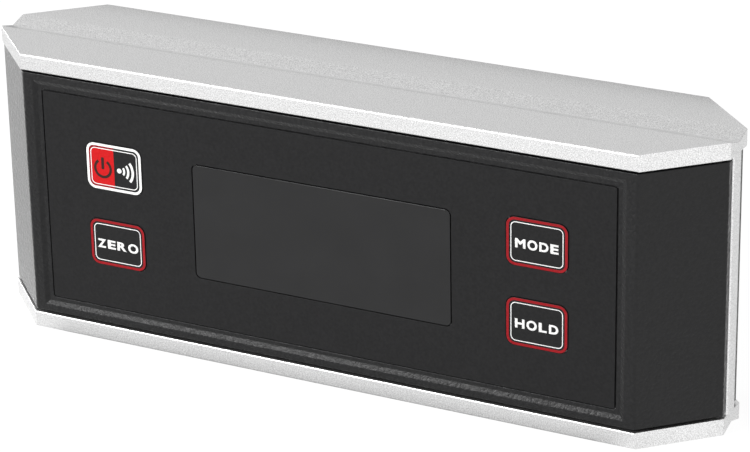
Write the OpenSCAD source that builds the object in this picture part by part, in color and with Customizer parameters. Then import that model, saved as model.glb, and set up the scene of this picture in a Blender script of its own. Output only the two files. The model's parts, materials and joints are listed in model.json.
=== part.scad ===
// Digital angle gauge: an aluminium extrusion with a V-groove along its top and bottom,
// a moulded front housing with display and keys, and a rear housing with the battery bay.
// Millimetres, +X along the length, front face towards -Y, standing on its underside at z = 0.

/* [Frame] */
// Length over the two ends
body_l = 150; // [136:1:240]
// Height from the underside to the top face
body_h = 56; // [54:1:80]
// Leg of the 45 degree cut on each upright corner
corner_cut = 12.2; // [10:0.1:13]
// Thickness of the top and bottom flanges
flange_t = 3.2; // [2.8:0.1:5]
// Thickness of the upright web between the flanges
web_t = 3.6; // [3:0.1:6]
// Depth of the V-groove along each flange
groove_d = 1.1; // [0.5:0.1:1.5]
// Bevel along the outer edges of the extrusion
edge_break = 0.25; // [0.1:0.05:0.8]
// Bevel along the flange edges that face the housings
inner_break = 0.15; // [0.1:0.05:0.8]

/* [Front housing] */
// Step of the front housing behind the flange edges
front_inset = 0.3; // [0.1:0.05:0.8]
// Radius of the upright corners of the housings
housing_r = 1; // [0.5:0.1:4]
// Side wall of both housings
side_wall = 1.8; // [1.2:0.1:2.5]
// Wall behind the membrane panel
face_wall = 1.4; // [1.2:0.1:2.5]
// Rim from the front corner to the recess
rim_side = 2.2; // [2:0.1:6]
// Rim above and below the recess
rim_edge = 1.35; // [1:0.05:5]
// Width of the recess bevel
bevel_w = 0.85; // [0.5:0.05:1.5]
// Depth of the recess
recess_d = 0.5; // [0.4:0.05:1.2]
// Flat ledge between the recess bevel and the membrane's pocket
ledge_w = 0.85; // [0.5:0.05:1.5]

/* [Membrane and window] */
// Thickness of the membrane panel
membrane_t = 0.35; // [0.2:0.05:0.5]
// Height of the membrane above the ledge
membrane_proud = 0.05; // [0:0.05:0.15]
// Corner radius of the membrane panel
membrane_r = 0.3; // [0.2:0.1:2]
// Width of the display window
window_w = 53; // [40:0.5:56]
// Height of the display window
window_h = 22.6; // [16:0.2:26]
// Corner radius of the display window
window_r = 1; // [0.4:0.1:3]
// Rear flange around the window lens
lens_rim = 1.5; // [1:0.1:2]
// Thickness of that rear flange
lens_rim_t = 0.8; // [0.5:0.1:1.5]
// Display cell border beyond the window
glass_rim = 2.4; // [2:0.1:3]
// Thickness of the display cell
glass_t = 2; // [1.5:0.1:3]
// Thickness of the backlight
light_t = 1.8; // [1:0.1:3]
// Height of each elastomer strip
strip_h = 1.4; // [1:0.1:2]

/* [Keys] */
// Width of a key
key_w = 12; // [10:0.2:14]
// Height of a key
key_h = 9.3; // [8:0.1:11]
// Corner radius of a key
key_r = 1.75; // [0.6:0.05:3]
// Upright distance between two keys
key_pitch = 15.5; // [13:0.1:18]
// From the end of the membrane to the middle of a key
key_edge = 15.1; // [12:0.1:18]
// Height of a key above the membrane
key_proud = 0.1; // [0:0.05:0.3]
// Travel of a key
key_travel = 0.35; // [0.2:0.05:0.5]
// Flange that keeps a key behind the wall
key_rim = 0.6; // [0.4:0.1:1]
// Thickness of that flange
key_rim_t = 0.7; // [0.5:0.1:1]
// Diameter of the stem behind a key
key_stem_d = 3; // [2:0.1:4]

/* [Board] */
// Thickness of the main board
board_t = 1.2; // [0.8:0.1:1.6]
// Board edge beyond the middle of the keys
board_edge = 6.4; // [5:0.1:7]
// Board edge beyond the rows of board screws
board_margin = 4; // [3:0.1:6]
// Upright distance of the board screws from mid-height
board_screw_z = 16; // [15:0.5:17]
// Room behind the board for its parts
parts_room = 5; // [3:0.1:6]
// Side of a key switch
switch_w = 6; // [4:0.1:7]
// Height of a switch body
switch_t = 2; // [1.5:0.1:2.2]
// Height of a switch with its plunger
switch_h = 3.1; // [2.6:0.1:3.3]
// Side of the tilt sensor
sensor_w = 7; // [4:0.5:9]
// Side of the controller chip
chip_w = 10; // [6:0.5:12]
// Height of the two chips
chip_t = 1.4; // [0.8:0.1:2]
// Bevel along the lid of a chip
chip_bevel = 0.4; // [0.1:0.05:0.6]
// Diameter of the buzzer
buzzer_d = 9; // [7:0.5:12]
// Height of the buzzer
buzzer_t = 2.4; // [1.5:0.1:2.8]

/* [Rear housing and battery bay] */
// Step of the rear housing inside the flange outline
rear_inset = 0.6; // [0.2:0.05:1]
// Diameter of a cell
cell_d = 10.5; // [10.3:0.1:14.5]
// Length of a cell with its button
cell_l = 44.5; // [44:0.1:50.5]
// Length of a cell's button
cell_button_l = 1; // [0.8:0.1:1.5]
// Diameter of a cell's button
cell_button_d = 3.8; // [3:0.1:5.5]
// Rounding of a cell's can at both ends
cell_shoulder = 0.5; // [0.2:0.1:1]
// Space between the two cells
cell_space = 0.4; // [0.2:0.1:1]
// Floor of the battery bay
bay_floor = 0.9; // [0.8:0.1:2]
// Wall around the battery bay
bay_wall = 3; // [2.8:0.1:3.5]
// From the rear face's end to the battery bay
bay_end = 5.4; // [4:0.1:10]
// Thickness of the battery door
door_t = 1.8; // [1.6:0.1:2.4]
// Thickness of the door's outer leaf
door_leaf = 0.9; // [0.7:0.05:1]
// Reach of the door's tongues under the housing's lips
door_tongue = 1.1; // [0.8:0.1:1.3]
// Door overlap before the bay
door_lap = 4; // [3.2:0.1:8]
// Count of the thumb grooves in the door
grip_count = 6; // [3:1:9]
// From the door's end to its first groove
grip_edge = 5; // [3:0.5:10]
// Distance from groove to groove
grip_pitch = 1.8; // [1.4:0.1:2.4]
// Width of a groove
grip_w = 0.9; // [0.5:0.1:1.2]
// Depth of a groove
grip_d = 0.35; // [0.2:0.05:0.5]
// Thickness of the sheet of a contact
contact_t = 0.4; // [0.2:0.05:0.5]
// Width of a contact plate
contact_w = 8; // [6:0.2:9]
// Height of the dimple on a contact
dimple_h = 0.6; // [0.4:0.1:0.8]
// Length of a contact spring
spring_l = 4; // [3:0.1:6]
// Radius of the spring's wire
spring_wire = 0.3; // [0.2:0.05:0.4]
// Radius of the spring's first turn
spring_base_r = 3.2; // [2.6:0.1:3.5]
// Radius of the spring's last turn
spring_tip_r = 2.2; // [1.6:0.1:2.6]
// Width of a contact's tail
tail_w = 3; // [2:0.1:4]

/* [Fasteners and magnets] */
// From an end of the gauge to the housing screws
screw_edge = 20; // [18:0.5:22]
// Upright distance of the housing screws from the body's edges
screw_drop = 10; // [9:0.1:10.5]
// Diameter of the housing screws
screw_d = 3; // [2:0.1:3.5]
// Head diameter of the housing screws
screw_head_d = 5.5; // [4:0.1:6]
// Head height of the housing screws
screw_head_h = 2; // [1.2:0.1:3]
// Rear housing under a screw head
screw_seat = 2.5; // [1.5:0.1:4]
// Length of the screws in the front housing
screw_bite = 6; // [4:0.1:7]
// Wall around the screws
boss_wall = 1.9; // [1.2:0.1:2.2]
// Diameter of the board screws
board_screw_d = 2; // [1.6:0.1:2.5]
// Length of the board screws under the head
board_screw_l = 5; // [4:0.1:6]
// Count of the base magnets
magnet_count = 4; // [2:1:6]
// Distance between two base magnets
magnet_pitch = 34; // [10:1:38]
// Diameter of a base magnet
magnet_d = 6; // [4:0.1:7]
// Height of the magnets' faces above the underside
magnet_lift = 0.25; // [0.1:0.05:0.5]
// Metal left above a magnet
magnet_roof = 0.45; // [0.3:0.05:1]

/* [Clearances] */
// Between the housings and the flanges
housing_gap = 0.45; // [0.1:0.05:0.5]
// Between the housings and the web
seat_gap = 0.3; // [0.1:0.05:0.6]
// Around the membrane in its recess
membrane_gap = 0.25; // [0.1:0.05:0.6]
// Around a key in its opening
key_gap = 0.12; // [0.08:0.01:0.3]
// Around the window lens and in front of the display cell
lens_gap = 0.2; // [0.05:0.01:0.3]
// Around the battery door
door_gap = 0.15; // [0.1:0.01:0.25]
// Around the cells
cell_gap = 0.25; // [0.1:0.05:0.5]
// Around screws, magnets and tails in their holes
hole_gap = 0.05; // [0.03:0.01:0.1]
// Around the screws in the web
web_hole_gap = 0.2; // [0.1:0.05:0.4]

/* [Hidden] */
$fn = 48;
// Overshoot of a cut past the face that it opens
cut = 1;

// Depths behind the front edge of the flanges, from the face to the web
d_ledge = front_inset + recess_d;
d_membrane = d_ledge - membrane_proud;
d_pocket = d_membrane + membrane_t;
d_wall = d_pocket + face_wall;
d_glass = d_wall + lens_rim_t + lens_gap;
d_light = d_glass + glass_t;
d_board = d_light + light_t;
d_parts = d_board + board_t;
d_front_end = d_parts + parts_room;
d_web = d_front_end + seat_gap;
d_rear_start = d_web + web_t + seat_gap;
d_bay = d_rear_start + bay_floor;
d_cell = d_bay + cell_gap + cell_d / 2;
d_door = d_bay + 2 * cell_gap + cell_d;
d_rear_face = d_door + door_t;
body_d = d_rear_face + rear_inset;

// Heights
mid_z = body_h / 2;
housing_h = body_h - 2 * (flange_t + housing_gap);

// Recess and membrane
front_l = body_l - 2 * corner_cut;
recess_l = front_l - 2 * rim_side;
recess_h = housing_h - 2 * rim_edge;
membrane_l = recess_l - 2 * (bevel_w + ledge_w + membrane_gap);
membrane_h = recess_h - 2 * (bevel_w + ledge_w + membrane_gap);

// Keys, board and screws
key_x = membrane_l / 2 - key_edge;
board_l = 2 * (key_x + board_edge);
board_h = 2 * (board_screw_z + board_margin);
board_screw_x = (window_w / 2 + key_x - key_w / 2) / 2;
screw_x = body_l / 2 - screw_edge;
screw_z = body_h / 2 - screw_drop;
d_screw_seat = d_rear_start + screw_seat;

// Battery bay
cell_pitch = cell_d + cell_space;
bay_half_h = (cell_pitch + cell_d) / 2 + cell_gap;
bay_l = cell_l + 2 * contact_t + dimple_h + spring_l;
bay_x1 = front_l / 2 - bay_end;
bay_x0 = bay_x1 - bay_l;
door_x0 = bay_x0 - door_lap;
door_leaf_half = bay_half_h + door_gap;
door_tongue_half = door_leaf_half + door_tongue;

// Magnets
magnet_t = flange_t - magnet_lift - magnet_roof;

plastic_black = [0.16, 0.16, 0.17];
metal_silver = [0.80, 0.81, 0.82];
membrane_black = [0.13, 0.13, 0.14];
key_red = [0.75, 0.12, 0.14];
board_green = [0.10, 0.35, 0.20];
chip_black = [0.08, 0.08, 0.09];
contact_nickel = [0.75, 0.74, 0.70];

// Y of a depth behind the front edge of the flanges
function at(depth) = depth - body_d / 2;

// Flange outline seen from above, pulled in by an inset
module octagon(inset = 0) {
    l = body_l / 2 - inset;
    d = body_d / 2 - inset;
    c = corner_cut - inset * (2 - sqrt(2));
    polygon([
        [l - c, -d], [l, c - d], [l, d - c], [l - c, d],
        [c - l, d], [-l, d - c], [-l, c - d], [c - l, -d]
    ]);
}

// The same outline with the corners of its long faces rounded
module soft_octagon(inset, r) {
    l = body_l / 2 - inset;
    d = body_d / 2 - inset;
    a = l - corner_cut + inset * (2 - sqrt(2));
    t = r * tan(22.5);
    intersection() {
        octagon(inset);
        union() {
            for (side = [-1, 1]) {
                polygon([
                    [side * (a - t), -d], [side * (a + t / sqrt(2)), t / sqrt(2) - d],
                    [side * 2 * l, t / sqrt(2) - d], [side * 2 * l, d - t / sqrt(2)],
                    [side * (a + t / sqrt(2)), d - t / sqrt(2)], [side * (a - t), d]
                ]);
                for (face = [-1, 1])
                    translate([side * (a - t), face * (d - r)]) circle(r);
            }
            square([2 * (a - t), 2 * d], center = true);
        }
    }
}

// A housing outline between two depths and two heights
module housing_block(inset, r, depths, heights) {
    translate([0, 0, heights[0]])
        linear_extrude(heights[1] - heights[0])
            intersection() {
                soft_octagon(inset, r);
                translate([-body_l, at(depths[0])]) square([2 * body_l, depths[1] - depths[0]]);
            }
}

// A drawing in the plane of the front face, solid between two depths
module face_prism(depths) {
    translate([0, at(depths[1]), mid_z])
        rotate([90, 0, 0])
            linear_extrude(depths[1] - depths[0]) children();
}

// A round bar along the depth, at a place in the plane of the front face
module depth_bar(x, z, d, depths) {
    face_prism(depths) translate([x, z]) circle(d = d);
}

module block(xs, depths, zs) {
    translate([xs[0], at(depths[0]), mid_z + zs[0]])
        cube([xs[1] - xs[0], depths[1] - depths[0], zs[1] - zs[0]]);
}

module rounded_rect(w, h, r) {
    square([w - 2 * r, h], center = true);
    square([w, h - 2 * r], center = true);
    for (x = [-1, 1], y = [-1, 1])
        translate([x * (w / 2 - r), y * (h / 2 - r)]) circle(r);
}

module at_keys() {
    for (x = [-1, 1], z = [-1, 1])
        translate([x * key_x, z * key_pitch / 2]) children();
}

module at_screws() {
    for (x = [-1, 1], z = [-1, 1])
        translate([x * screw_x, z * screw_z]) children();
}

module at_board_screws() {
    for (x = [-1, 1], z = [-1, 1])
        translate([x * board_screw_x, z * board_screw_z]) children();
}

module at_magnets() {
    for (i = [0 : magnet_count - 1])
        translate([(i - (magnet_count - 1) / 2) * magnet_pitch, 0, magnet_lift]) children();
}

// Section of one flange, its grooved face down
module flange_section() {
    half = body_d / 2;
    groove = half - corner_cut;
    polygon([
        [edge_break - half, 0], [-groove, 0], [0, groove_d], [groove, 0], [half - edge_break, 0],
        [half, edge_break], [half, flange_t - inner_break], [half - inner_break, flange_t],
        [inner_break - half, flange_t], [-half, flange_t - inner_break], [-half, edge_break]
    ]);
}

module flange() {
    intersection() {
        rotate([90, 0, 90]) linear_extrude(body_l, center = true) flange_section();
        linear_extrude(flange_t) octagon();
    }
}

// Web seen from above, with a small bevel on its end edges
module web_plan() {
    l = body_l / 2;
    intersection() {
        octagon();
        translate([0, at(d_web)]) polygon([
            [edge_break - l, 0], [l - edge_break, 0], [l, edge_break], [l, web_t - edge_break],
            [l - edge_break, web_t], [edge_break - l, web_t], [-l, web_t - edge_break], [-l, edge_break]
        ]);
    }
}

module tail_slots(depths, clear) {
    for (z = [-1, 1])
        block(
            [bay_x0 - clear, bay_x0 + contact_t + clear], depths,
            [z * cell_pitch / 2 - tail_w / 2 - clear, z * cell_pitch / 2 + tail_w / 2 + clear]
        );
}

module frame() {
    color(metal_silver)
        difference() {
            union() {
                flange();
                translate([0, 0, body_h]) mirror([0, 0, 1]) flange();
                translate([0, 0, flange_t]) linear_extrude(body_h - 2 * flange_t) web_plan();
            }
            at_magnets() translate([0, 0, -magnet_lift - cut])
                cylinder(d = magnet_d + 2 * hole_gap, h = magnet_t + magnet_lift + cut);
            face_prism([d_web - cut, d_web + web_t + cut])
                at_screws() circle(d = screw_d + 2 * web_hole_gap);
            tail_slots([d_web - cut, d_web + web_t + cut], tail_w / 2);
        }
}

// Bevelled recess of the front face, its four slopes mitred
module recess_cut() {
    flare = cut * bevel_w / recess_d;
    front = at(front_inset) - cut;
    floor_y = at(d_ledge);
    intersection() {
        linear_extrude(body_h) polygon([
            [-recess_l / 2 - flare, front], [recess_l / 2 + flare, front],
            [recess_l / 2 - bevel_w, floor_y], [bevel_w - recess_l / 2, floor_y]
        ]);
        translate([0, 0, mid_z]) rotate([90, 0, 90]) linear_extrude(body_l, center = true) polygon([
            [front, -recess_h / 2 - flare], [floor_y, bevel_w - recess_h / 2],
            [floor_y, recess_h / 2 - bevel_w], [front, recess_h / 2 + flare]
        ]);
    }
}

// Outlines of the membrane, the window and a key, grown by a clearance
module membrane_outline(gap = 0) {
    rounded_rect(membrane_l + 2 * gap, membrane_h + 2 * gap, membrane_r + gap);
}

module window_outline(gap = 0) {
    rounded_rect(window_w + 2 * gap, window_h + 2 * gap, window_r + gap);
}

module key_outline(gap = 0) {
    rounded_rect(key_w + 2 * gap, key_h + 2 * gap, key_r + gap);
}

module front_housing() {
    low = mid_z - housing_h / 2;
    high = mid_z + housing_h / 2;
    screw_tip = d_web - seat_gap - screw_bite;
    color(plastic_black)
        difference() {
            union() {
                difference() {
                    housing_block(front_inset, housing_r, [front_inset, d_front_end], [low, high]);
                    housing_block(
                        front_inset + side_wall, housing_r, [d_wall, d_front_end + cut],
                        [low + side_wall, high - side_wall]
                    );
                }
                face_prism([d_wall, d_front_end]) at_screws() circle(d = screw_d + 2 * boss_wall);
                face_prism([d_wall, d_board])
                    at_board_screws() circle(d = board_screw_d + 2 * boss_wall);
            }
            recess_cut();
            face_prism([front_inset, d_pocket]) membrane_outline(membrane_gap);
            face_prism([front_inset, d_wall + cut]) window_outline(lens_gap);
            face_prism([front_inset, d_wall + cut]) at_keys() key_outline(key_gap);
            face_prism([screw_tip, d_front_end + cut]) at_screws() circle(d = screw_d + 2 * hole_gap);
            face_prism([d_parts - board_screw_l, d_board + cut])
                at_board_screws() circle(d = board_screw_d + 2 * hole_gap);
        }
}

module membrane_panel() {
    color(membrane_black)
        face_prism([d_membrane, d_pocket])
            difference() {
                membrane_outline();
                window_outline(lens_gap);
                at_keys() key_outline(key_gap);
            }
}

module lcd_window() {
    color([0.20, 0.20, 0.21]) {
        face_prism([d_membrane, d_wall]) window_outline();
        face_prism([d_wall, d_wall + lens_rim_t]) window_outline(lens_rim);
    }
}

// A key at a corner of the keypad, with its retaining flange and its stem
module key(side, row) {
    rim = d_wall + hole_gap;
    tip = d_board - switch_h - key_travel - hole_gap;
    translate([side * key_x, 0, row * key_pitch / 2]) {
        face_prism([d_membrane - key_proud, rim]) key_outline();
        face_prism([rim, rim + key_rim_t]) key_outline(key_rim);
        face_prism([rim + key_rim_t, tip]) circle(d = key_stem_d);
    }
}

module power_key() { color(key_red) key(-1, 1); }
module zero_key() { color(membrane_black) key(-1, -1); }
module mode_key() { color(membrane_black) key(1, 1); }
module hold_key() { color(membrane_black) key(1, -1); }

module lcd_glass() {
    color([0.45, 0.50, 0.48])
        face_prism([d_glass, d_light])
            square([window_w + 2 * glass_rim, window_h + 2 * glass_rim], center = true);
}

module backlight() {
    light_h = window_h + 2 * (glass_rim - strip_h - lens_gap);
    color([0.92, 0.93, 0.90])
        face_prism([d_light, d_board])
            square([window_w + 2 * glass_rim, light_h], center = true);
}

module elastomer_strips() {
    strip_z = window_h / 2 + glass_rim - strip_h / 2;
    color([0.85, 0.55, 0.60])
        face_prism([d_light, d_board])
            for (z = [-1, 1])
                translate([0, z * strip_z]) square([window_w, strip_h], center = true);
}

module main_board() {
    color(board_green)
        face_prism([d_board, d_parts])
            difference() {
                square([board_l, board_h], center = true);
                at_board_screws() circle(d = board_screw_d + 2 * hole_gap);
            }
}

module key_switches() {
    color(chip_black) {
        face_prism([d_board - switch_t, d_board]) at_keys() square(switch_w, center = true);
        face_prism([d_board - switch_h, d_board - switch_t]) at_keys() circle(d = key_stem_d);
    }
}

// A square chip on the rear of the board, the edges of its lid bevelled
module chip(x, w) {
    section = [
        [-w / 2, 0], [w / 2, 0], [w / 2, chip_t - chip_bevel], [w / 2 - chip_bevel, chip_t],
        [chip_bevel - w / 2, chip_t], [-w / 2, chip_t - chip_bevel]
    ];
    translate([x, at(d_parts), mid_z])
        intersection() {
            linear_extrude(w, center = true) polygon(section);
            rotate([90, 90, 90]) linear_extrude(w, center = true) polygon(section);
        }
}

module tilt_sensor() { color(metal_silver) chip(-board_screw_x / 2, sensor_w); }
module controller_chip() { color(chip_black) chip(board_screw_x / 2, chip_w); }

module buzzer() {
    color(chip_black)
        translate([-key_x, 0, 0])
            face_prism([d_parts, d_parts + buzzer_t])
                difference() {
                    circle(d = buzzer_d);
                    circle(d = buzzer_d / 6);
                }
}

// A cross-head screw along the depth, from its tip to the seat of its head
module screw(x, z, d, head_d, head_h, tip, seat) {
    slot_w = d / 4;
    slot_l = 0.6 * head_d;
    difference() {
        union() {
            depth_bar(x, z, d, [tip, seat]);
            depth_bar(x, z, head_d, [seat, seat + head_h]);
        }
        for (turn = [0, 90])
            face_prism([seat + head_h / 2, seat + head_h + cut])
                translate([x, z]) rotate(turn) square([slot_l, slot_w], center = true);
    }
}

module board_screws() {
    head_d = 1.8 * board_screw_d;
    head_h = 0.6 * board_screw_d;
    color(metal_silver)
        for (x = [-1, 1], z = [-1, 1])
            screw(
                x * board_screw_x, z * board_screw_z, board_screw_d, head_d, head_h,
                d_parts - board_screw_l, d_parts
            );
}

module housing_screws() {
    color(metal_silver)
        for (x = [-1, 1], z = [-1, 1])
            screw(
                x * screw_x, z * screw_z, screw_d, screw_head_d, screw_head_h,
                d_front_end - screw_bite, d_screw_seat
            );
}

module rear_housing() {
    low = mid_z - housing_h / 2;
    high = mid_z + housing_h / 2;
    out = d_rear_face + cut;
    color(plastic_black)
        difference() {
            union() {
                difference() {
                    housing_block(rear_inset, housing_r, [d_rear_start, d_rear_face], [low, high]);
                    housing_block(
                        rear_inset + side_wall, housing_r, [d_rear_start - cut, d_rear_face - door_t],
                        [low + side_wall, high - side_wall]
                    );
                }
                intersection() {
                    housing_block(rear_inset, housing_r, [d_rear_start, d_rear_face], [low, high]);
                    block(
                        [door_x0 - bay_wall, body_l], [d_rear_start, d_rear_face],
                        [-bay_half_h - bay_wall, bay_half_h + bay_wall]
                    );
                }
                face_prism([d_rear_start, d_rear_face])
                    at_screws() circle(d = screw_head_d + 2 * boss_wall);
            }
            block([bay_x0, bay_x1], [d_bay, out], [-bay_half_h, bay_half_h]);
            block(
                [door_x0 - door_gap, body_l], [d_door - door_gap, d_rear_face - door_leaf + door_gap],
                [-door_tongue_half - door_gap, door_tongue_half + door_gap]
            );
            block(
                [door_x0 - door_gap, body_l], [d_door, out],
                [-door_leaf_half - door_gap, door_leaf_half + door_gap]
            );
            face_prism([d_rear_start - cut, out]) at_screws() circle(d = screw_d + 2 * web_hole_gap);
            face_prism([d_screw_seat, out]) at_screws() circle(d = screw_head_d + 2 * web_hole_gap);
            tail_slots([d_rear_start - cut, d_bay + cut], hole_gap);
        }
}

// One leaf of the battery door: it follows the outline of the rear housing at its end
module door_leaf_block(depths, half_h) {
    intersection() {
        housing_block(rear_inset, housing_r, depths, [mid_z - half_h, mid_z + half_h]);
        block([door_x0, body_l], depths, [-half_h, half_h]);
    }
}

module battery_door() {
    grip_x = door_x0 + grip_edge;
    color(plastic_black)
        difference() {
            union() {
                door_leaf_block([d_rear_face - door_leaf, d_rear_face], door_leaf_half);
                door_leaf_block([d_door, d_rear_face - door_leaf], door_tongue_half);
            }
            for (i = [0 : grip_count - 1])
                block(
                    [grip_x + i * grip_pitch, grip_x + i * grip_pitch + grip_w],
                    [d_rear_face - grip_d, d_rear_face + cut], [-bay_half_h / 2, bay_half_h / 2]
                );
        }
}

// A cell along X from its flat end, with its button at the far end
module cell(colour) {
    can_r = cell_d / 2;
    can_l = cell_l - cell_button_l;
    color(colour)
        rotate([0, 90, 0]) rotate_extrude() polygon([
            [0, 0], [can_r - cell_shoulder, 0], [can_r, cell_shoulder], [can_r, can_l - cell_shoulder],
            [can_r - cell_shoulder, can_l], [cell_button_d / 2, can_l],
            [cell_button_d / 2, cell_l], [0, cell_l]
        ]);
}

// The upper cell points its button at the start of the bay, the lower one at its end
module upper_cell() {
    translate([bay_x0 + contact_t + dimple_h + cell_l, at(d_cell), mid_z + cell_pitch / 2])
        rotate([0, 0, 180]) cell([0.20, 0.25, 0.30]);
}

module lower_cell() {
    translate([bay_x1 - contact_t - dimple_h - cell_l, at(d_cell), mid_z - cell_pitch / 2])
        cell([0.20, 0.25, 0.30]);
}

// Coil spring along X that narrows from its base, swept round by round
module coil_spring() {
    turns = 4;
    steps = 12;
    sides = 6;
    n = turns * steps;
    run = spring_l - spring_wire;
    points = [
        for (i = [0 : n], j = [0 : sides - 1])
            let (
                turn = 360 * i / steps, around = 360 * j / sides,
                r = spring_base_r + (spring_tip_r - spring_base_r) * i / n + spring_wire * cos(around)
            )
            [run * i / n + spring_wire * sin(around), r * cos(turn), r * sin(turn)]
    ];
    walls = [
        for (i = [0 : n - 1], j = [0 : sides - 1])
            let (k = (j + 1) % sides)
            [i * sides + j, i * sides + k, (i + 1) * sides + k, (i + 1) * sides + j]
    ];
    polyhedron(points, concat(
        [[for (j = [0 : sides - 1]) sides - 1 - j]], walls, [[for (j = [0 : sides - 1]) n * sides + j]]
    ));
}

// Sheet plate of a contact on an end wall of the bay
module contact_plate(x, low, high) {
    translate([x, at(d_cell) - contact_w / 2, mid_z + low]) cube([contact_t, contact_w, high - low]);
}

module contact_dimple(x, z) {
    translate([x, at(d_cell), mid_z + z]) rotate([0, 90, 0])
        cylinder(d1 = cell_button_d + 1, d2 = cell_button_d, h = dimple_h);
}

module contact_tail(z) {
    block(
        [bay_x0, bay_x0 + contact_t], [d_parts, d_cell], [z - tail_w / 2, z + tail_w / 2]
    );
}

module positive_contact() {
    z = cell_pitch / 2;
    color(contact_nickel) {
        contact_plate(bay_x0, z - contact_w / 2, z + contact_w / 2);
        contact_dimple(bay_x0 + contact_t, z);
        contact_tail(z);
    }
}

module negative_contact() {
    z = -cell_pitch / 2;
    color(contact_nickel) {
        contact_plate(bay_x0, z - contact_w / 2, z + contact_w / 2);
        translate([bay_x0 + contact_t, at(d_cell), mid_z + z]) coil_spring();
        contact_tail(z);
    }
}

module link_contact() {
    z = cell_pitch / 2;
    color(contact_nickel) {
        contact_plate(bay_x1 - contact_t, -z - contact_w / 2, z + contact_w / 2);
        translate([bay_x1 - contact_t, 0, 0]) mirror([1, 0, 0]) {
            translate([0, at(d_cell), mid_z + z]) coil_spring();
            contact_dimple(0, -z);
        }
    }
}

module base_magnets() {
    color([0.70, 0.71, 0.73]) at_magnets() cylinder(d = magnet_d, h = magnet_t);
}

frame();
front_housing();
membrane_panel();
lcd_window();
power_key();
zero_key();
mode_key();
hold_key();
lcd_glass();
backlight();
elastomer_strips();
main_board();
key_switches();
tilt_sensor();
controller_chip();
buzzer();
board_screws();
rear_housing();
battery_door();
upper_cell();
lower_cell();
positive_contact();
negative_contact();
link_contact();
housing_screws();
base_magnets();
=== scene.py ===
"""Looks of a digital angle gauge: a bead-blasted aluminium extrusion with black mouldings,
a membrane front with printed keys, and a rear battery bay. Metres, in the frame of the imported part."""

import json
from math import cos, pi, radians, sin

import bpy
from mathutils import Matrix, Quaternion, Vector

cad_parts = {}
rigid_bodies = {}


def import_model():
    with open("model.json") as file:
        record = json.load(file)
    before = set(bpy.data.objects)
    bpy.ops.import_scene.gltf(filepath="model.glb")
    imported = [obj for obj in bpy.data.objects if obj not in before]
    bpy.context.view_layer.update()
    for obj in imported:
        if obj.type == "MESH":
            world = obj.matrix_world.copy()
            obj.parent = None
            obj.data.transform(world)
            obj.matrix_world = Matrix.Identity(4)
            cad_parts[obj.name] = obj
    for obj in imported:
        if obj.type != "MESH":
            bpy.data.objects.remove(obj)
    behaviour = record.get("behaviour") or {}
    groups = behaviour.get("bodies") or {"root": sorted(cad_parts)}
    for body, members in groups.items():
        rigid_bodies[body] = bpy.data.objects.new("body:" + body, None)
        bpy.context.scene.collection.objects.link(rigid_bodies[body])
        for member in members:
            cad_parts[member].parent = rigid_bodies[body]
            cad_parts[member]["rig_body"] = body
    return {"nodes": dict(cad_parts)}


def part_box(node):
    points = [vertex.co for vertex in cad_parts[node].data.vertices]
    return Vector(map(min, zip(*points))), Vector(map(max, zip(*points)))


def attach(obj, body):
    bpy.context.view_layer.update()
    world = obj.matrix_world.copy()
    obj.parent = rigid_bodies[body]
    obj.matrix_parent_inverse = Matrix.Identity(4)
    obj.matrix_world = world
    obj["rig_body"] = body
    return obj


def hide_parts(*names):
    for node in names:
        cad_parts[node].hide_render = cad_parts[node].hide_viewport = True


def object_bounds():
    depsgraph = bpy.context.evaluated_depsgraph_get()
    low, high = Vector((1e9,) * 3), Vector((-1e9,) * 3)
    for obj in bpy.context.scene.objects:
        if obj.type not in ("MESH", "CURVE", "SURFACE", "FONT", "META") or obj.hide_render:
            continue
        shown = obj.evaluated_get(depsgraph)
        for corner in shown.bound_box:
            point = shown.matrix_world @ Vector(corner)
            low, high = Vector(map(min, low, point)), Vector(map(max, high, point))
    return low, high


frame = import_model()
solid_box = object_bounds()

MM = 0.001

# View: the camera's bearing in degrees, the point of the gauge at the middle of the picture, and the lens
VIEW_AZIMUTH = 27.73
VIEW_ELEVATION = 22.5
VIEW_ROLL = -1.06
VIEW_DISTANCE = 589.6 * MM
VIEW_AIM = Vector((3.06, 0.70, 26.22)) * MM
VIEW_NEAREST = 10 * MM
VIEW_FARTHEST = 20.0
LENS = 151.75
SENSOR = 36.0

# Small edge radii of the pieces
EDGE = {
    "frame": 0.09 * MM, "front_housing": 0.14 * MM, "rear_housing": 0.12 * MM, "battery_door": 0.12 * MM,
    "membrane_panel": 0.06 * MM, "lcd_window": 0.08 * MM,
    "power_key": 0.06 * MM, "zero_key": 0.06 * MM, "mode_key": 0.06 * MM, "hold_key": 0.06 * MM,
}
EDGE_STEPS = 2

# Distance within which points are one point
MERGE = 0.001 * MM

# Angles between faces in degrees: under the first they are one plane, over the others their edge is rounded
FLAT = 0.5
CREASE = 25
FRAME_CREASE = 12

# Least upward share of a face's normal at which the face counts as level
LEVEL = 0.9

# Hidden flange around a key's cap
KEY_FLANGE = 0.6 * MM

# Print on the keys
FILM = 0.02 * MM
CORNER_STEPS = 8
OUTLINE_BAND = 0.50 * MM
OUTLINE_GAP = 0.33 * MM
OUTLINE_CORNER = 1.68 * MM
INNER_LINE = 0.16 * MM
INNER_CORNER = 1.00 * MM
LEGEND_CAP = 1.82 * MM
LEGEND_ROUND = 1.95 * MM
LEGEND_WEIGHT = 0.046
LEGEND_DROP = 0.28 * MM
LETTER_WIDTHS = {
    "ZERO": (1.92 * MM, 1.80 * MM, 2.09 * MM, 2.27 * MM),
    "MODE": (2.07 * MM, 1.95 * MM, 1.80 * MM, 1.62 * MM),
    "HOLD": (1.91 * MM, 2.03 * MM, 1.61 * MM, 1.87 * MM),
}
LETTER_GAP = {"ZERO": 0.31 * MM, "MODE": 0.34 * MM, "HOLD": 0.36 * MM}

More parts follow.
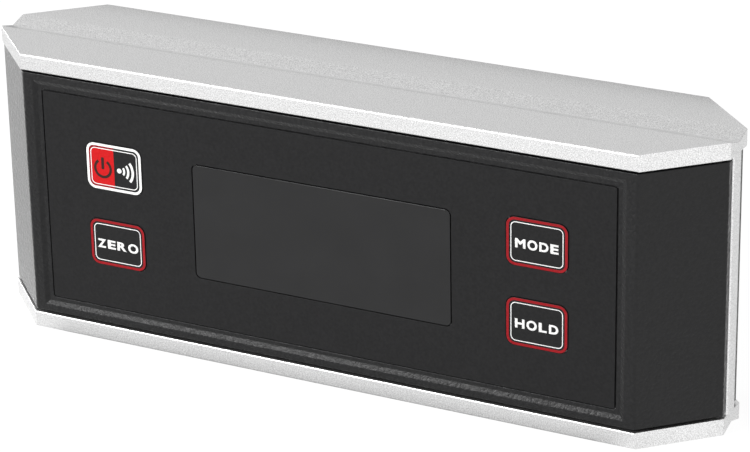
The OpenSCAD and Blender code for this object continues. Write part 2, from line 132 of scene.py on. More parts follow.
# Print on the power key: white outline, red half with the standby sign, dark half with the sound sign
POWER_BAND = 0.50 * MM
POWER_GAP = 0.38 * MM
STANDBY_R = 1.98 * MM
STANDBY_STROKE = 0.54 * MM
STANDBY_HALF_GAP = 32
STANDBY_DROP = 0.38 * MM
STANDBY_BAR = 2.4 * MM
STANDBY_BAR_WIDTH = 0.62 * MM
STANDBY_BAR_CORNER = STANDBY_BAR_WIDTH / 5
STANDBY_BAR_DROP = 0.15 * MM
SOUND_DOT_X = 1.13 * MM
SOUND_DOT_R = 0.49 * MM
SOUND_DOT_SIDES = 32
SOUND_DROP = 0.30 * MM
SOUND_ARCS = ((1.08 * MM, 0.42 * MM), (1.97 * MM, 0.46 * MM), (2.96 * MM, 0.52 * MM))
SOUND_HALF_ANGLE = 39
ARC_STEPS = 24

# Body of the print on the power key, and a slot name
POWER = ("power", "power_key_film")

# Raised arrow on the battery door
ARROW_R = 2.4 * MM
ARROW_CORNER = 0.5 * MM
ARROW_CORNER_STEPS = 4
ARROW_X = 21 * MM
ARROW_T = 0.3 * MM
ARROW_SUNK = 0.06 * MM
ARROW_EDGE = 0.08 * MM
ARROW_EDGE_ANGLE = 40

# Places along a cell from its button's end: end of the can, of the bright band and of the sleeve
CELL_CAN = 1.5 * MM
CELL_BAND = 11 * MM
CELL_SLEEVE = 44 * MM
CELL_METAL = (0.70, 0.70, 0.69)
CELL_COPPER = (0.46, 0.20, 0.08)
CELL_BLUE = (0.06, 0.09, 0.14)

# Stretch of the noise over which tones and gloss wander
NOISE_LOW = 0.3
NOISE_HIGH = 0.7

# Room: its light, and its brightness in reflections. A run holds two shares of a direction and two values
ROOM_LIGHT = 0.5
ROOM_FRONT = 0.72
ROOM_OVERHEAD = (0.3, 1.0, 0.90, 0.62)
ROOM_HORIZON = (0.08, 0.36, 0.10, 1.0)
ROOM_TURN = (-0.35, 0.45, 0.0, 1.0)
ROOM_LEFT = (-0.9, -0.65, 0.25, 1.0)

# Floor: its brightness to the camera and in reflections, where a shade beside the gauge and a dim left and
# bright right are painted. A run holds two places and two values
FLOOR_SIZE = 6.0
FLOOR_DROP = 0.05 * MM
FLOOR_WHITE = 1.08
FLOOR_GLOW = 0.85
FLOOR_NEAR = (0.0, 6 * MM, 0.40, 0.91)
FLOOR_LEFT = (-150 * MM, -60 * MM, 0.78, 1.0)
FLOOR_FAR_LEFT = (-150 * MM, -90 * MM, 0.72, 1.0)
FLOOR_BEHIND = (-60 * MM, 20 * MM, 1.0, 0.72)
FLOOR_RIGHT = (60 * MM, 75 * MM, 0.0, 0.22)
FLOOR_FRONT = (-8 * MM, 0.0, 1.0, 0.0)

# Distance from each end of the gauge at which the floor's painted shade beside it ends
SHADE_END = 20 * MM

# Grey card behind the gauge
CARD_LEFT = -110 * MM
CARD_RIGHT = 62 * MM
CARD_LOW = 47 * MM
CARD_TOP = 60.5 * MM
CARD_Y = 26 * MM
CARD_TONE = 0.12

# Lamps: name, place, width, height and power in watts
LAMPS = (
    ("upper_left_softbox", (-0.40, -0.62, 0.47), 0.33, 0.33, 4.6),
    ("front_softbox", (-0.5, -1.2, 0.2), 1.6, 0.4, 3.4),
    ("right_softbox", (1.2, -0.7, 0.25), 0.7, 0.7, 2.0),
    ("left_softbox", (-1.0, 0.15, 0.22), 0.5, 0.4, 9.0),
)
LAMP_AIM = Vector((0, 0, 28)) * MM


def only(piece):
    """Makes one object the whole selection."""
    if bpy.context.mode != "OBJECT":
        bpy.ops.object.mode_set(mode="OBJECT")
    bpy.ops.object.select_all(action="DESELECT")
    piece.select_set(True)
    bpy.context.view_layer.objects.active = piece


def settle(piece, name, material, body):
    """Puts a finished piece's place into its mesh, names and dresses it, and lets it ride on its body."""
    only(piece)
    bpy.ops.object.transform_apply(location=True, rotation=True, scale=True)
    piece.name = name
    piece.data.name = name
    piece.data.materials.clear()
    piece.data.materials.append(material)
    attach(piece, body)
    return piece


def apply_modifier(piece, kind, **settings):
    """Adds a modifier with its settings and makes its shape the piece's own."""
    only(piece)
    modifier = piece.modifiers.new(kind.title(), kind)
    for key, value in settings.items():
        setattr(modifier, key, value)
    bpy.ops.object.modifier_apply(modifier=modifier.name)


def split_place(tree, kind):
    """The X, Y and Z of one kind of texture coordinate."""
    place = tree.nodes.new("ShaderNodeTexCoord")
    split = tree.nodes.new("ShaderNodeSeparateXYZ")
    tree.links.new(place.outputs[kind], split.inputs["Vector"])
    return split.outputs


def spread_over(tree, value, start, end, first, last):
    """A value that runs from first to last while another runs from start to end."""
    spread = tree.nodes.new("ShaderNodeMapRange")
    for name, number in (("From Min", start), ("From Max", end), ("To Min", first), ("To Max", last)):
        spread.inputs[name].default_value = number
    tree.links.new(value, spread.inputs["Value"])
    return spread.outputs["Result"]


def joined(tree, operation, *values):
    """One value worked out from others, each a number or another node's output."""
    math = tree.nodes.new("ShaderNodeMath")
    math.operation = operation
    for entry, value in zip(math.inputs, values):
        if isinstance(value, bpy.types.NodeSocket):
            tree.links.new(value, entry)
        else:
            entry.default_value = value
    return math.outputs["Value"]


def show_mix(tree, fac, first, second, output):
    """Shows the first shader where the factor is nought and the second where it is one."""
    mix = tree.nodes.new("ShaderNodeMixShader")
    tree.links.new(fac, mix.inputs["Fac"])
    tree.links.new(first, mix.inputs[1])
    tree.links.new(second, mix.inputs[2])
    tree.links.new(mix.outputs["Shader"], output.inputs["Surface"])


def new_finish(name, colour, roughness, metallic=0.0, specular=0.5):
    """A material with its plain colour and roughness, which a pattern can take the place of."""
    material = bpy.data.materials.new(name)
    material.use_nodes = True
    shader = material.node_tree.nodes["Principled BSDF"]
    shader.inputs["Base Color"].default_value = (*colour, 1.0)
    shader.inputs["Roughness"].default_value = roughness
    shader.inputs["Metallic"].default_value = metallic
    shader.inputs["Specular IOR Level"].default_value = specular
    return material, shader


def object_noise(material, size, detail=2.0):
    """Noise of about the given grain size on the piece's own coordinates."""
    tree = material.node_tree
    place = tree.nodes.new("ShaderNodeTexCoord")
    noise = tree.nodes.new("ShaderNodeTexNoise")
    noise.inputs["Scale"].default_value = 1.0 / size
    noise.inputs["Detail"].default_value = detail
    tree.links.new(place.outputs["Object"], noise.inputs["Vector"])
    return noise.outputs["Fac"]


def tint(material, shader, fac, dark, light):
    """Base colour that wanders between two tones."""
    tree = material.node_tree
    ramp = tree.nodes.new("ShaderNodeValToRGB")
    for element, place, colour in zip(ramp.color_ramp.elements, (NOISE_LOW, NOISE_HIGH), (dark, light)):
        element.position = place
        element.color = (*colour, 1.0)
    tree.links.new(fac, ramp.inputs["Fac"])
    tree.links.new(ramp.outputs["Color"], shader.inputs["Base Color"])


def gloss_range(material, shader, fac, low, high):
    """Roughness that wanders between two values."""
    roughness = spread_over(material.node_tree, fac, NOISE_LOW, NOISE_HIGH, low, high)
    material.node_tree.links.new(roughness, shader.inputs["Roughness"])


def relief(material, shader, fac, depth, strength=1.0):
    """Fine grain of a given depth on the surface."""
    tree = material.node_tree
    bump = tree.nodes.new("ShaderNodeBump")
    bump.inputs["Strength"].default_value = strength
    bump.inputs["Distance"].default_value = depth
    tree.links.new(fac, bump.inputs["Height"])
    tree.links.new(bump.outputs["Normal"], shader.inputs["Normal"])


def bead_blasted_aluminium():
    """Bright matte metal with a fine grain."""
    material, shader = new_finish("bead_blasted_aluminium", (0.83, 0.83, 0.83), 0.40, metallic=1.0)
    grain = object_noise(material, size=0.18 * MM, detail=1.0)
    tint(material, shader, grain, dark=(0.60, 0.60, 0.60), light=(1.0, 1.0, 1.0))
    gloss_range(material, shader, grain, low=0.34, high=0.44)
    relief(material, shader, grain, depth=0.010 * MM, strength=0.6)
    return material


def black_moulding():
    """Black plastic with a moulded texture, which looks paler at a flat angle."""
    material, shader = new_finish("black_moulding", (0.014, 0.014, 0.0145), 0.38, specular=0.31)
    shader.inputs["Sheen Weight"].default_value = 1.0
    shader.inputs["Sheen Roughness"].default_value = 0.3
    grain = object_noise(material, size=0.60 * MM)
    tint(material, shader, grain, dark=(0.002, 0.002, 0.0025), light=(0.008, 0.008, 0.0085))
    gloss_range(material, shader, grain, low=0.32, high=0.46)
    relief(material, shader, grain, depth=0.16 * MM)
    return material


def smooth_moulding():
    """The same plastic where the mould has no texture."""
    material, shader = new_finish("smooth_moulding", (0.008, 0.008, 0.0085), 0.40, specular=0.31)
    grain = object_noise(material, size=0.60 * MM)
    tint(material, shader, grain, dark=(0.002, 0.002, 0.0025), light=(0.008, 0.008, 0.0085))
    return material


def black_film(name):
    """Satin black film of the membrane and the keys."""
    material, shader = new_finish(name, (0.020, 0.020, 0.0205), 0.40, specular=0.2)
    grain = object_noise(material, size=0.5 * MM, detail=3.0)
    tint(material, shader, grain, dark=(0.008, 0.008, 0.0085), light=(0.013, 0.013, 0.0135))
    gloss_range(material, shader, grain, low=0.36, high=0.44)
    relief(material, shader, grain, depth=0.004 * MM, strength=0.4)
    return material


def smoked_acrylic():
    """Smooth dark window over the display, which is off."""
    material, shader = new_finish("smoked_acrylic", (0.018, 0.018, 0.0185), 0.16, specular=0.4)
    haze = object_noise(material, size=6 * MM)
    tint(material, shader, haze, dark=(0.008, 0.008, 0.0085), light=(0.010, 0.010, 0.0105))
    gloss_range(material, shader, haze, low=0.14, high=0.19)
    return material


def ink(name, dark, light):
    """Printed ink with a little mottling."""
    material, shader = new_finish(name, light, roughness=0.45, specular=0.15)
    tint(material, shader, object_noise(material, size=0.3 * MM), dark, light)
    return material


def plain_finish(name, dark, light, grain, roughness, metallic=0.0):
    """A finish of two tones for a hidden piece, with the size of its grain in millimetres."""
    material, shader = new_finish(name, light, roughness, metallic)
    fac = object_noise(material, size=grain * MM)
    tint(material, shader, fac, dark, light)
    relief(material, shader, fac, depth=0.005 * MM, strength=0.5)
    return material


def bands(material, fac, steps):
    """A colour that changes in steps along a value."""
    ramp = material.node_tree.nodes.new("ShaderNodeValToRGB")
    ramp.color_ramp.interpolation = "CONSTANT"
    # A new ramp has two elements, so only the steps after them are added
    for place, _ in steps[2:]:
        ramp.color_ramp.elements.new(place)
    for element, (place, colour) in zip(ramp.color_ramp.elements, steps):
        element.position = place
        element.color = (*colour, 1.0)
    material.node_tree.links.new(fac, ramp.inputs["Fac"])
    return ramp.outputs["Color"]


def cell_finish(node, button_end):
    """A cell's bare can, bright band and dark sleeve, from the end that its button is at."""
    low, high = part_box(node)
    start, end = (low.x, high.x) if button_end < 0 else (high.x, low.x)
    material, shader = new_finish(node + "_sleeve", (0.08, 0.11, 0.17), 0.3)
    tree = material.node_tree
    along = spread_over(tree, split_place(tree, "Object")["X"], start, end, 0.0, 1.0)
    can, band, sleeve = (length / (high.x - low.x) for length in (CELL_CAN, CELL_BAND, CELL_SLEEVE))
    colours = ((0.0, CELL_METAL), (can, CELL_COPPER), (band, CELL_BLUE), (sleeve, CELL_METAL))
    shine = ((0.0, (1, 1, 1)), (can, (0.5, 0.5, 0.5)), (band, (0, 0, 0)), (sleeve, (1, 1, 1)))
    tree.links.new(bands(material, along, colours), shader.inputs["Base Color"])
    tree.links.new(bands(material, along, shine), shader.inputs["Metallic"])
    gloss_range(material, shader, object_noise(material, size=1.5 * MM), low=0.24, high=0.36)
    return material


def merge_copy(piece):
    """Joins a copied solid's loose triangles into planes, without sheets that lie inside it."""
    only(piece)
    bpy.ops.object.mode_set(mode="EDIT")
    bpy.ops.mesh.select_all(action="SELECT")
    bpy.ops.mesh.remove_doubles(threshold=MERGE)
    bpy.ops.mesh.select_mode(type="FACE")
    bpy.ops.mesh.select_all(action="DESELECT")
    bpy.ops.mesh.select_interior_faces()
    bpy.ops.mesh.delete(type="FACE")
    bpy.ops.mesh.select_all(action="SELECT")
    bpy.ops.mesh.dissolve_limited(angle_limit=radians(FLAT))
    bpy.ops.object.mode_set(mode="OBJECT")


def softened(node, material, crease=CREASE):
    """A copy of a solid with its edges over a crease angle rounded, which stands for that solid."""
    source = frame["nodes"][node]
    piece = bpy.data.objects.new(node + "_shape", source.data.copy())
    bpy.context.scene.collection.objects.link(piece)
    merge_copy(piece)
    apply_modifier(
        piece, "BEVEL", width=EDGE[node], segments=EDGE_STEPS, limit_method="ANGLE",
        angle_limit=radians(crease), use_clamp_overlap=False
    )
    bpy.ops.object.shade_smooth_by_angle(angle=radians(crease))
    apply_modifier(piece, "WEIGHTED_NORMAL", keep_sharp=True)
    settle(piece, node + "_shape", material, source["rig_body"])
    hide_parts(node)
    return piece


def finish_level_faces(piece, material):
    """Another finish on the faces that look straight up or down."""
    piece.data.materials.append(material)
    for face in piece.data.polygons:
        if abs(face.normal.z) > LEVEL:
            face.material_index = 1


def facing_front(piece, x, y, z):
    """Turns a flat drawing so that it faces the front, at a place on the gauge."""
    piece.rotation_euler = (pi / 2, 0.0, 0.0)
    piece.location = (x, y, z)


def rounded_plate(width, height, corner):
    """A flat rounded rectangle in the drawing plane."""
    bpy.ops.mesh.primitive_plane_add(size=1.0)
    plate = bpy.context.object
    plate.scale = (width, height, 1.0)
    bpy.ops.object.transform_apply(scale=True)
    bpy.ops.object.mode_set(mode="EDIT")
    bpy.ops.mesh.select_all(action="SELECT")
    bpy.ops.mesh.bevel(offset=corner, segments=CORNER_STEPS, affect="VERTICES")
    bpy.ops.object.mode_set(mode="OBJECT")
    return plate


def outline_ring(width, height, corner, band):
    """A rounded rectangle with its middle taken out."""
    ring = rounded_plate(width, height, corner)
    bpy.ops.object.mode_set(mode="EDIT")
    bpy.ops.mesh.select_all(action="SELECT")
    bpy.ops.mesh.inset(thickness=band)
    bpy.ops.mesh.delete(type="FACE")
    bpy.ops.object.mode_set(mode="OBJECT")
    return ring


def arc_band(radius, stroke, start, sweep):
    """A flat band along an arc, spun from one short edge."""
    bpy.ops.mesh.primitive_plane_add(size=1.0)
    band = bpy.context.object
    bpy.ops.object.mode_set(mode="EDIT")
    bpy.ops.mesh.select_mode(type="VERT")
    bpy.ops.mesh.select_all(action="DESELECT")
    bpy.ops.object.mode_set(mode="OBJECT")
    for vertex in band.data.vertices:
        vertex.select = vertex.co.y < 0
    bpy.ops.object.mode_set(mode="EDIT")
    bpy.ops.mesh.delete(type="VERT")
    bpy.ops.object.mode_set(mode="OBJECT")
    for vertex, r in zip(band.data.vertices, (radius - stroke / 2, radius + stroke / 2)):
        vertex.co = (r * cos(radians(start)), r * sin(radians(start)), 0.0)
    bpy.ops.object.mode_set(mode="EDIT")
    bpy.ops.mesh.select_all(action="SELECT")
    bpy.ops.mesh.spin(steps=ARC_STEPS, angle=-radians(sweep), center=(0, 0, 0), axis=(0, 0, 1))
    bpy.ops.object.mode_set(mode="OBJECT")
    return band


def left_half(drawing):
    """Keeps what lies left of the middle of a drawing."""
    only(drawing)
    bpy.ops.object.mode_set(mode="EDIT")
    bpy.ops.mesh.select_all(action="SELECT")
    bpy.ops.mesh.bisect(plane_co=(0, 0, 0), plane_no=(1, 0, 0), clear_outer=True)
    bpy.ops.object.mode_set(mode="OBJECT")
    return drawing


def closed(drawing):
    """Merges a drawing's double points and turns its faces outward."""
    only(drawing)
    bpy.ops.object.mode_set(mode="EDIT")
    bpy.ops.mesh.select_all(action="SELECT")
    bpy.ops.mesh.remove_doubles(threshold=MERGE)
    bpy.ops.mesh.normals_make_consistent(inside=False)
    bpy.ops.object.mode_set(mode="OBJECT")
    return drawing


def printed(drawing, name, x, y, z, material, body, slot):
    """A drawing laid on a front face as a thin film of ink."""
    apply_modifier(drawing, "SOLIDIFY", thickness=FILM, offset=0.0)
    closed(drawing)
    facing_front(drawing, x, y - FILM / 2, z)
    return settle(drawing, name, material, body)


def letter(sign, width):
    """A bold letter of a given width, pressed flat to the thickness of the ink."""
    bpy.ops.object.text_add()
    text = bpy.context.object.data
    text.body = sign
    text.bevel_depth = LEGEND_WEIGHT
    text.bevel_resolution = 0
    text.fill_mode = "BOTH"
    bpy.ops.object.convert(target="MESH")
    drawing = closed(bpy.context.object)
    bpy.ops.object.origin_set(type="ORIGIN_GEOMETRY", center="BOUNDS")
    height = LEGEND_ROUND if sign == "O" else LEGEND_CAP
    drawing.dimensions = (width, height, FILM)
    bpy.ops.object.transform_apply(location=False, rotation=False, scale=True)
    return drawing


def legend(word, x, y, z, material, body):
    """A word set letter by letter about the middle of its key."""
    widths = LETTER_WIDTHS[word]
    gap = LETTER_GAP[word]
    start = -(sum(widths) + gap * (len(word) - 1)) / 2
    letters = []
    for sign, width in zip(word, widths):
        drawing = letter(sign, width)
        drawing.location = (start + width / 2, 0.0, 0.0)
        start += width + gap
        letters.append(drawing)
    only(letters[0])
    for drawing in letters:
        drawing.select_set(True)
    bpy.ops.object.transform_apply(location=True, rotation=False, scale=False)
    bpy.ops.object.join()
    drawing = bpy.context.object
    facing_front(drawing, x, y - FILM / 2, z - LEGEND_DROP)
    return settle(drawing, word.lower() + "_legend", material, body)


def key_place(node):
    """Middle of a key's cap and the y of its front face."""
    low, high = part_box(node)
    return (low.x + high.x) / 2, low.y, (low.z + high.z) / 2


def key_cap(node):
    """Width and height of a key's cap, inside its hidden flange."""
    low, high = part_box(node)
    return high.x - low.x - 2 * KEY_FLANGE, high.z - low.z - 2 * KEY_FLANGE


def key_outline(node, band, gap):
    """Outer ring and thin inner line of a key's print, with the inset at which the inner line starts."""
    width, height = key_cap(node)
    edge = EDGE[node]
    ring = outline_ring(width - 2 * edge, height - 2 * edge, OUTLINE_CORNER, band)
    inset = edge + band + gap
    line = outline_ring(width - 2 * inset, height - 2 * inset, INNER_CORNER, INNER_LINE)
    return ring, line, inset


def word_key(node, word, body, red, white):
    """Print on a key with a word: red outline, thin white line and white legend."""
    x, y, z = key_place(node)
    ring, line, _ = key_outline(node, OUTLINE_BAND, OUTLINE_GAP)
    printed(ring, node + "_outline", x, y, z, red, body, "key_film")
    printed(line, node + "_inner_line", x, y, z, white, body, "key_film")
    legend(word, x, y, z, white, body)


def red_half(inset, red, dark_red):
    """Dark red margin and red field on the left half of the power key, outside and inside its thin line."""
    x, y, z = key_place("power_key")
    width, height = key_cap("power_key")
    outer = inset - POWER_GAP
    inner = inset + INNER_LINE
    margin = outline_ring(width - 2 * outer, height - 2 * outer, INNER_CORNER + POWER_GAP, POWER_GAP)
    printed(left_half(margin), "power_key_red_margin", x, y, z, dark_red, *POWER)
    field = rounded_plate(width - 2 * inner, height - 2 * inner, INNER_CORNER - INNER_LINE)
    printed(left_half(field), "power_key_red_field", x, y, z, red, *POWER)


def standby_sign(inset, black):
    """An open ring with a bar, on top of the red field."""
    x, y, z = key_place("power_key")
    width, _ = key_cap("power_key")
    x -= (width / 2 - inset - INNER_LINE) / 2
    y -= FILM
    z -= STANDBY_DROP
    start = 90 + STANDBY_HALF_GAP
    sweep = 360 - 2 * STANDBY_HALF_GAP
    ring = arc_band(STANDBY_R - STANDBY_STROKE / 2, STANDBY_STROKE, start, sweep)
    printed(ring, "standby_ring", x, y, z, black, *POWER)
    bar = rounded_plate(STANDBY_BAR_WIDTH, STANDBY_BAR, STANDBY_BAR_CORNER)
    bar_z = z + STANDBY_BAR / 2 - STANDBY_BAR_DROP
    printed(bar, "standby_bar", x, y, bar_z, black, *POWER)


def sound_sign(white):
    """A dot with three arcs, on the dark half of the power key."""
    x, y, z = key_place("power_key")
    x += SOUND_DOT_X
    z -= SOUND_DROP
    bpy.ops.mesh.primitive_circle_add(vertices=SOUND_DOT_SIDES, radius=SOUND_DOT_R, fill_type="NGON")
    printed(bpy.context.object, "sound_dot", x, y, z, white, *POWER)
    for number, (radius, stroke) in enumerate(SOUND_ARCS, 1):
        arc = arc_band(radius, stroke, -SOUND_HALF_ANGLE, 2 * SOUND_HALF_ANGLE)
        printed(arc, f"sound_arc_{number}", x, y, z, white, *POWER)


def power_key_print(red, dark_red, white, black):
    """Print on the power key: white outline and thin line, the red half and the two signs."""
    x, y, z = key_place("power_key")
    ring, line, inset = key_outline("power_key", POWER_BAND, POWER_GAP)
    printed(ring, "power_key_outline", x, y, z, white, *POWER)
    printed(line, "power_key_inner_line", x, y, z, white, *POWER)
    red_half(inset, red, dark_red)
    standby_sign(inset, black)
    sound_sign(white)


def door_arrow(material):
    """A raised arrow on the battery door that points the way the door slides off."""
    low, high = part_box("battery_door")
    bpy.ops.mesh.primitive_circle_add(
        vertices=3, radius=ARROW_R, fill_type="NGON", rotation=(0, 0, -pi / 2)
    )
    arrow = bpy.context.object
    bpy.ops.object.transform_apply(rotation=True)
    bpy.ops.object.mode_set(mode="EDIT")
    bpy.ops.mesh.select_all(action="SELECT")
    bpy.ops.mesh.bevel(offset=ARROW_CORNER, segments=ARROW_CORNER_STEPS, affect="VERTICES")
    bpy.ops.object.mode_set(mode="OBJECT")
    apply_modifier(arrow, "SOLIDIFY", thickness=ARROW_T, offset=0.0)
    closed(arrow)
    apply_modifier(
        arrow, "BEVEL", width=ARROW_EDGE, segments=EDGE_STEPS, limit_method="ANGLE",
        angle_limit=radians(ARROW_EDGE_ANGLE)
    )
    bpy.ops.object.shade_smooth_by_angle(angle=radians(CREASE))
    arrow.rotation_euler = (-pi / 2, 0.0, 0.0)
    arrow.location = (low.x + ARROW_X, high.y + ARROW_T / 2 - ARROW_SUNK, (low.z + high.z) / 2)
    settle(arrow, "door_arrow", material, "door")


def dress_hidden_nodes():
    """Finishes of the solids that keep their own shape."""
    steel = plain_finish("zinc_steel", (0.50, 0.51, 0.53), (0.66, 0.67, 0.69), 0.3, 0.32, 1.0)
    chip = plain_finish("chip_package", (0.012, 0.012, 0.013), (0.022, 0.022, 0.024), 0.15, 0.5)
    nickel = plain_finish("nickel_contact", (0.62, 0.60, 0.56), (0.74, 0.72, 0.68), 0.4, 0.25, 1.0)
    magnet = plain_finish("magnet_nickel", (0.60, 0.61, 0.63), (0.70, 0.71, 0.73), 0.6, 0.22, 1.0)
    finishes = {
        "lcd_glass": plain_finish("display_glass", (0.30, 0.35, 0.32), (0.34, 0.39, 0.36), 4.0, 0.12),
        "backlight": plain_finish("light_guide", (0.80, 0.81, 0.79), (0.88, 0.89, 0.87), 3.0, 0.35),
        "elastomer_strips": plain_finish("elastomer", (0.62, 0.40, 0.43), (0.72, 0.48, 0.50), 0.5, 0.6),
        "main_board": plain_finish("circuit_board", (0.015, 0.13, 0.05), (0.03, 0.20, 0.09), 1.5, 0.35),
        "key_switches": chip,
        "controller_chip": chip,
        "buzzer": chip,
        "tilt_sensor": plain_finish("sensor_can", (0.55, 0.55, 0.56), (0.66, 0.66, 0.67), 0.5, 0.3, 1.0),
        "board_screws": steel,
        "housing_screws": steel,
        "upper_cell": cell_finish("upper_cell", -1),
        "lower_cell": cell_finish("lower_cell", 1),
        "positive_contact": nickel,
        "negative_contact": nickel,
        "link_contact": nickel,
        "base_magnets": magnet,
    }
    for node, material in finishes.items():
        slots = frame["nodes"][node].data.materials
        slots.clear()
        slots.append(material)


def place_camera():
    """A camera in front, to the right and above, that looks at the middle of the gauge."""
    azimuth = radians(VIEW_AZIMUTH)
    elevation = radians(VIEW_ELEVATION)
    back = Vector((sin(azimuth) * cos(elevation), -cos(azimuth) * cos(elevation), sin(elevation)))
    bpy.ops.object.camera_add()
    camera = bpy.context.object
    camera.rotation_mode = "QUATERNION"
    turn = Quaternion((0.0, 0.0, 1.0), radians(VIEW_ROLL))
    camera.rotation_quaternion = (-back).to_track_quat("-Z", "Y") @ turn
    camera.location = VIEW_AIM + back * VIEW_DISTANCE
    camera.data.lens = LENS
    camera.data.sensor_width = SENSOR
    camera.data.clip_start = VIEW_NEAREST
    camera.data.clip_end = VIEW_FARTHEST
    bpy.context.scene.camera = camera


def softbox(name, place, width, height, power):
    """A studio lamp that looks at the gauge."""
    bpy.ops.object.light_add(type="AREA", location=place)
    lamp = bpy.context.object
    lamp.name = name
    lamp.data.shape = "RECTANGLE"
    lamp.data.size = width
    lamp.data.size_y = height
    lamp.data.energy = power
    lamp.rotation_mode = "QUATERNION"
    lamp.rotation_quaternion = (LAMP_AIM - Vector(place)).to_track_quat("-Z", "Y")


def seen_rays(tree):
    """One for rays from the camera, reflections and transmission, nought for the light itself."""
    path = tree.nodes.new("ShaderNodeLightPath")
    total = path.outputs["Is Camera Ray"]
    for ray in ("Is Glossy Ray", "Is Transmission Ray"):
        total = joined(tree, "MAXIMUM", total, path.outputs[ray])
    return total


def surroundings(tree):
    """Brightness of the room: white to the camera, and uneven in reflections, dimmest low behind."""
    way = split_place(tree, "Generated")
    overhead = spread_over(tree, way["Z"], *ROOM_OVERHEAD)
    horizon = spread_over(tree, way["Z"], *ROOM_HORIZON)
    room = tree.nodes.new("ShaderNodeMix")
    room.inputs["A"].default_value = ROOM_FRONT
    tree.links.new(spread_over(tree, way["Y"], *ROOM_TURN), room.inputs["Factor"])
    tree.links.new(joined(tree, "MULTIPLY", overhead, horizon), room.inputs["B"])
    left = spread_over(tree, way["X"], *ROOM_LEFT)
    dimmed = joined(tree, "MULTIPLY", room.outputs["Result"], left)
    path = tree.nodes.new("ShaderNodeLightPath")
    return joined(tree, "MAXIMUM", dimmed, path.outputs["Is Camera Ray"])


def white_room():
    """A room that lights the gauge evenly, with another brightness where it is seen."""
    world = bpy.context.scene.world or bpy.data.worlds.new("studio")
    bpy.context.scene.world = world
    world.use_nodes = True
    tree = world.node_tree
    tree.nodes.clear()
    light = tree.nodes.new("ShaderNodeBackground")
    light.inputs["Color"].default_value = (1.0, 1.0, 1.0, 1.0)
    light.inputs["Strength"].default_value = ROOM_LIGHT
    seen = tree.nodes.new("ShaderNodeBackground")
    seen.inputs["Color"].default_value = (1.0, 1.0, 1.0, 1.0)
    tree.links.new(surroundings(tree), seen.inputs["Strength"])
    output = tree.nodes.new("ShaderNodeOutputWorld")
    show_mix(tree, seen_rays(tree), light.outputs["Background"], seen.outputs["Background"], output)


def painted_contact_shade(tree):
    """Brightness of the floor in reflections: a painted shade beside the gauge, painted dim at the left and
    bright at the right.
    """
    place = split_place(tree, "Object")
    distances = []
    for axis, half in (("X", solid_box[1].x - SHADE_END), ("Y", solid_box[1].y)):
        distances.append(joined(tree, "SUBTRACT", joined(tree, "ABSOLUTE", place[axis]), half))
    # Painted shade on the floor beside the gauge, seen only in reflections, with painted dimming at the
    # left and painted brightening at the right
    near = spread_over(tree, joined(tree, "MAXIMUM", *distances), *FLOOR_NEAR)
    left = spread_over(tree, place["X"], *FLOOR_LEFT)
    far_left = spread_over(tree, place["X"], *FLOOR_FAR_LEFT)
    behind = spread_over(tree, place["Y"], *FLOOR_BEHIND)
    side = joined(tree, "MULTIPLY", left, joined(tree, "MAXIMUM", far_left, behind))
    right = spread_over(tree, place["X"], *FLOOR_RIGHT)
    front = spread_over(tree, place["Y"], *FLOOR_FRONT)
    lift = joined(tree, "MULTIPLY", right, front)
    return joined(tree, "ADD", joined(tree, "MULTIPLY", near, side), lift)


def white_floor():
    """A plain floor that keeps the gauge's shadow, is white to the camera and shows a painted shade in
    reflections.
    """
    bpy.ops.mesh.primitive_plane_add(size=FLOOR_SIZE, location=(0, 0, -FLOOR_DROP))
    floor = bpy.context.object
    floor.name = "floor"
    material, shader = new_finish("white_floor", (0.90, 0.90, 0.90), 0.9, specular=0.0)
    tree = material.node_tree
    glow = tree.nodes.new("ShaderNodeEmission")
    path = tree.nodes.new("ShaderNodeLightPath")
    plain = joined(tree, "MULTIPLY", path.outputs["Is Camera Ray"], FLOOR_WHITE)
    tree.links.new(joined(tree, "MAXIMUM", plain, painted_contact_shade(tree)), glow.inputs["Strength"])
    share = joined(tree, "MULTIPLY", seen_rays(tree), FLOOR_GLOW)
    output = tree.nodes["Material Output"]
    show_mix(tree, share, shader.outputs["BSDF"], glow.outputs["Emission"], output)
    floor.data.materials.append(material)


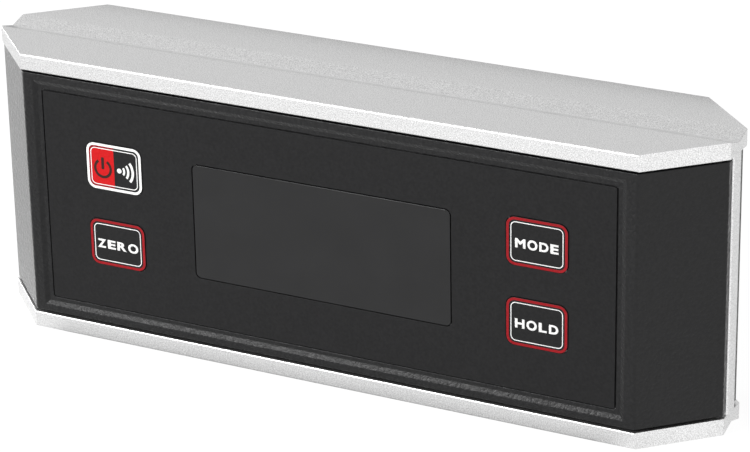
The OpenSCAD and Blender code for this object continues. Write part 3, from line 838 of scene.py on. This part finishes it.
def reflected_tone(name, tone):
    """A finish that shows one tone in reflections and is clear to all else."""
    material = bpy.data.materials.new(name)
    material.use_nodes = True
    tree = material.node_tree
    tree.nodes.remove(tree.nodes["Principled BSDF"])
    glow = tree.nodes.new("ShaderNodeEmission")
    glow.inputs["Strength"].default_value = tone
    clear = tree.nodes.new("ShaderNodeBsdfTransparent")
    path = tree.nodes.new("ShaderNodeLightPath")
    output = tree.nodes["Material Output"]
    show_mix(tree, path.outputs["Is Glossy Ray"], clear.outputs["BSDF"], glow.outputs["Emission"], output)
    return material


def grey_card():
    """A grey card behind the gauge that shows in reflections alone and shades the far edge of the top."""
    bpy.ops.mesh.primitive_plane_add(size=1.0, rotation=(pi / 2, 0, 0))
    card = bpy.context.object
    card.name = "grey_card"
    card.scale = (CARD_RIGHT - CARD_LEFT, CARD_TOP - CARD_LOW, 1.0)
    card.location = ((CARD_LEFT + CARD_RIGHT) / 2, CARD_Y, (CARD_LOW + CARD_TOP) / 2)
    card.data.materials.append(reflected_tone("grey_card", CARD_TONE))


place_camera()
white_room()
white_floor()
for lamp in LAMPS:
    softbox(*lamp)
grey_card()

metal = bead_blasted_aluminium()
moulding = black_moulding()
membrane = black_film("membrane_film")
key_black = black_film("key_film")
softened("frame", metal, FRAME_CREASE)
front = softened("front_housing", moulding)
finish_level_faces(front, smooth_moulding())
softened("rear_housing", moulding)
softened("battery_door", moulding)
softened("membrane_panel", membrane)
softened("lcd_window", smoked_acrylic())
softened("power_key", key_black)
for key in ("zero_key", "mode_key", "hold_key"):
    softened(key, key_black)

red_ink = ink("red_ink", (0.26, 0.006, 0.010), (0.32, 0.009, 0.014))
bright_red = ink("bright_red_ink", (0.50, 0.004, 0.005), (0.57, 0.007, 0.009))
deep_red = ink("deep_red_ink", (0.22, 0.004, 0.008), (0.28, 0.006, 0.010))
white_ink = ink("white_ink", (0.84, 0.84, 0.83), (0.92, 0.92, 0.91))
black_ink = ink("black_ink", (0.030, 0.012, 0.010), (0.036, 0.015, 0.012))
power_key_print(bright_red, deep_red, white_ink, black_ink)
word_key("zero_key", "ZERO", "zero", red_ink, white_ink)
word_key("mode_key", "MODE", "mode", red_ink, white_ink)
word_key("hold_key", "HOLD", "hold", red_ink, white_ink)
door_arrow(moulding)
dress_hidden_nodes()

bpy.context.scene.view_settings.view_transform = "Standard"
